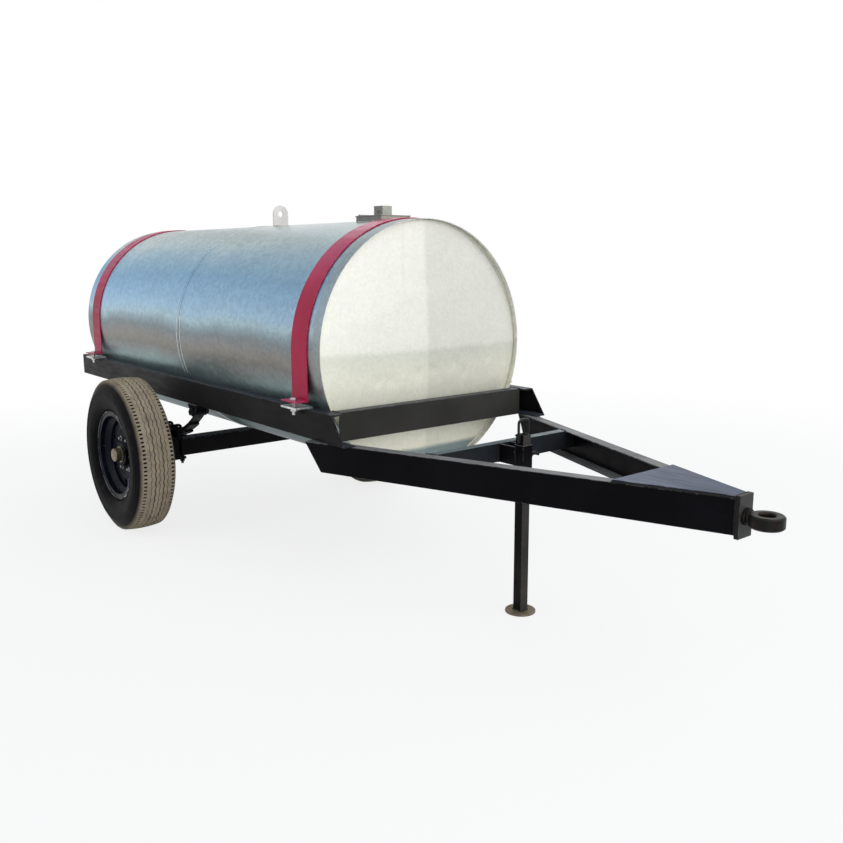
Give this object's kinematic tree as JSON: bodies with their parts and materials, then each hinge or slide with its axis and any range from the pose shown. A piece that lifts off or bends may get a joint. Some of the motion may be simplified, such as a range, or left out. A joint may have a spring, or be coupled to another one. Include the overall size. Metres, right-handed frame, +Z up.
{
  "type": "wheeled water bowser",
  "caption": "Single-axle water bowser trailer: galvanised cylinder tank strapped to a black channel frame, with leaf springs, A-frame drawbar, towing ring, prop stand, hatch and valve.",
  "frame": {"origin": "on the ground under the middle of the trailer's length and width", "axes": "+X towards the towing eye, +Y to the trailer's left, +Z up"},
  "size_m": [4.347, 1.6848, 1.61],
  "materials": {
    "frame_paint": "black chassis enamel, semi-gloss",
    "worn_paint": "black enamel worn to dusty steel",
    "galvanised_sheet": "galvanised sheet, satin",
    "end_panel_sheet": "pale galvanised sheet, satin",
    "strap_paint": "crimson enamel, gloss",
    "zinc_plate": "zinc plated",
    "bare_steel": "bare steel, dull",
    "dull_brass": "dull brass",
    "lever_paint": "red enamel",
    "tyre_rubber": "tyre rubber with dusty tread",
    "rim_paint": "black enamel",
    "spring_paint": "black spring steel"
  },
  "bodies": {
    "chassis": {"side_rail_right": "frame_paint", "side_rail_left": "frame_paint", "front_cross_beam": "frame_paint", "rear_cross_beam": "frame_paint", "drawbar_beam_right": "frame_paint", "drawbar_beam_left": "frame_paint", "drawbar_cross_member": "frame_paint", "drawbar_gusset_plate": "frame_paint", "drawbar_end_plate": "frame_paint", "towing_eye": "worn_paint", "towing_eye_nut": "bare_steel", "stand_sleeve": "frame_paint", "tank_shell_front": "galvanised_sheet", "tank_shell_rear": "galvanised_sheet", "tank_seam_strip": "galvanised_sheet", "tank_front_end": "end_panel_sheet", "tank_rear_end": "end_panel_sheet", "tank_baffle": "galvanised_sheet", "hatch_neck": "galvanised_sheet", "hatch_hinge_pin": "bare_steel", "lifting_lug": "bare_steel", "front_strap": "strap_paint", "rear_strap": "strap_paint", "strap_lug_plates": "zinc_plate", "strap_bolts": "zinc_plate", "strap_nuts": "zinc_plate", "outlet_pipe": "zinc_plate", "valve_body": "dull_brass", "spring_hangers": "frame_paint", "spring_pins": "bare_steel"},
    "axle": {"axle_beam": "frame_paint", "spindles": "bare_steel", "hub_nuts": "bare_steel", "spring_seats": "frame_paint", "u_bolts": "bare_steel", "u_bolt_plates": "frame_paint", "main_leaf_right": "spring_paint", "main_leaf_left": "spring_paint", "short_leaves_right": "spring_paint", "short_leaves_left": "spring_paint"},
    "wheel_right": {"hub_right": "frame_paint", "hub_bearings_right": "bare_steel", "grease_cap_right": "dull_brass", "wheel_rim_right": "rim_paint", "tyre_right": "tyre_rubber", "wheel_studs_right": "bare_steel"},
    "wheel_left": {"hub_left": "frame_paint", "hub_bearings_left": "bare_steel", "grease_cap_left": "dull_brass", "wheel_rim_left": "rim_paint", "tyre_left": "tyre_rubber", "wheel_studs_left": "bare_steel"},
    "stand": {"stand_leg": "frame_paint", "stand_foot": "worn_paint", "stand_handle": "frame_paint"},
    "stand_screw": {"stand_clamp_screw": "zinc_plate"},
    "hatch": {"hatch_lid": "galvanised_sheet", "hatch_vent_box": "galvanised_sheet"},
    "valve_stem": {"valve_ball": "bare_steel", "valve_lever": "lever_paint"}
  },
  "joints": [
    {"name": "axle_travel", "type": "slide", "parent": "chassis", "child": "axle", "axis": [0, 0, 1], "range_m": [-0.012, 0.018], "stiffness_N_per_m": 1100000, "springref_m": -0.003, "deforming": ["main_leaf_right", "main_leaf_left", "short_leaves_right", "short_leaves_left"]},
    {"name": "wheel_right_spin", "type": "hinge", "parent": "axle", "child": "wheel_right", "pos_m": [-0.91346, -0.74, 0.3825], "axis": [0, 1, 0], "continuous": true},
    {"name": "wheel_left_spin", "type": "hinge", "parent": "axle", "child": "wheel_left", "pos_m": [-0.91346, 0.74, 0.3825], "axis": [0, 1, 0], "continuous": true},
    {"name": "stand_slide", "type": "slide", "parent": "chassis", "child": "stand", "axis": [0, 0, 1], "range_m": [0, 0.42]},
    {"name": "stand_screw_turn", "type": "hinge", "parent": "chassis", "child": "stand_screw", "pos_m": [1.12954, 0, 0.62044], "axis": [0, 1, 0], "range_deg": [0, 360]},
    {"name": "hatch_open", "type": "hinge", "parent": "chassis", "child": "hatch", "pos_m": [0.15804, 0, 1.5273], "axis": [0, -1, 0], "range_deg": [0, 110]},
    {"name": "valve_turn", "type": "hinge", "parent": "chassis", "child": "valve_stem", "pos_m": [-2.09054, 0, 0.602], "axis": [0, 0, 1], "range_deg": [0, 90]}
  ]
}
